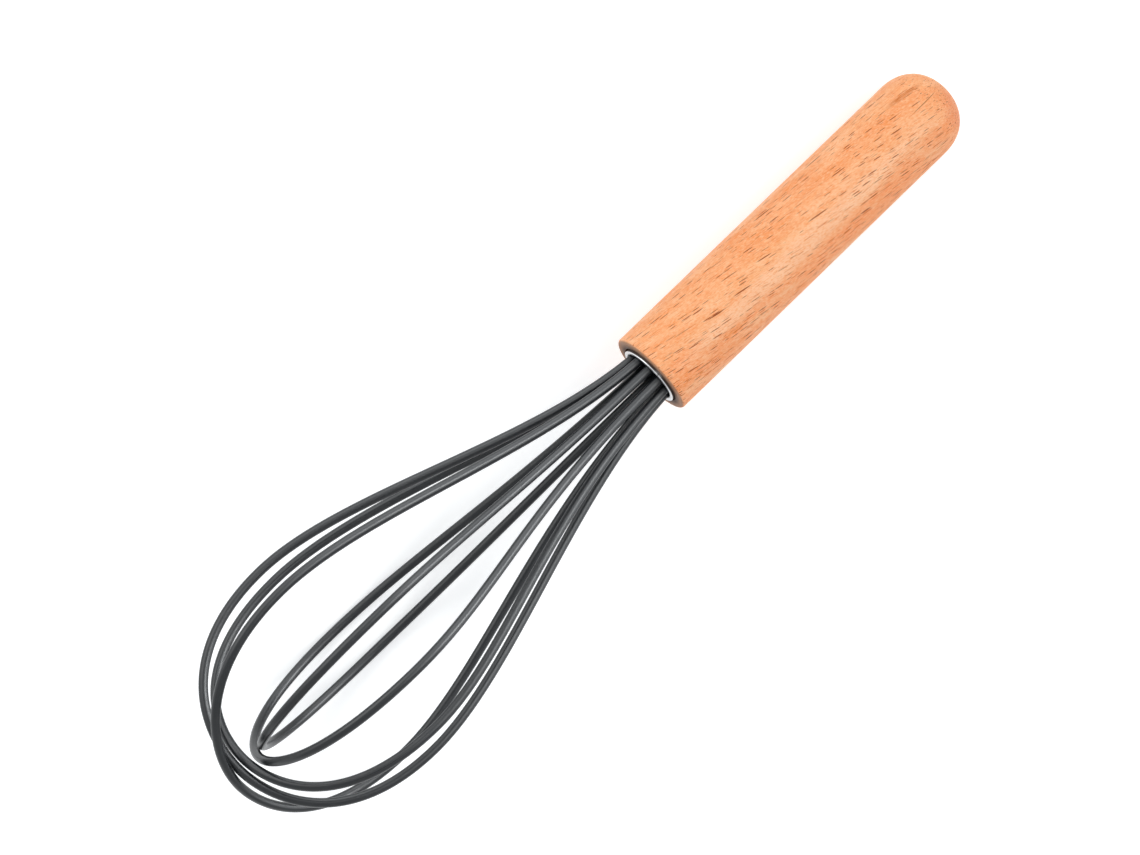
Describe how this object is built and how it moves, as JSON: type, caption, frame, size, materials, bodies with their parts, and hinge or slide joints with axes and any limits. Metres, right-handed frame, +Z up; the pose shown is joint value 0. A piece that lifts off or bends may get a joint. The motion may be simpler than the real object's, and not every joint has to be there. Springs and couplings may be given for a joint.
{
  "type": "balloon whisk",
  "caption": "Hand balloon whisk lying on its side: straight domed beech handle, thin steel ferrule and crossing loops of silicone-covered wire for beating and whipping.",
  "frame": {"origin": "on the table, under the middle of the whisk's box", "axes": "+X along the whisk from the handle to the balloon, +Z up from the table it lies on"},
  "size_m": [0.2708, 0.0678, 0.0658],
  "materials": {
    "beech": "oiled satin",
    "ferrule_steel": "bright",
    "plug": "matte",
    "silicone": "satin",
    "wire_steel": "drawn"
  },
  "bodies": {
    "root": {"handle": "beech", "ferrule": "ferrule_steel", "wire_plug": "plug", "loop_1_sleeve": "silicone", "loop_2_sleeve": "silicone", "loop_3_sleeve": "silicone", "loop_4_sleeve": "silicone", "loop_5_sleeve": "silicone", "loop_1_wire": "wire_steel", "loop_2_wire": "wire_steel", "loop_3_wire": "wire_steel", "loop_4_wire": "wire_steel", "loop_5_wire": "wire_steel"}
  },
  "joints": []
}
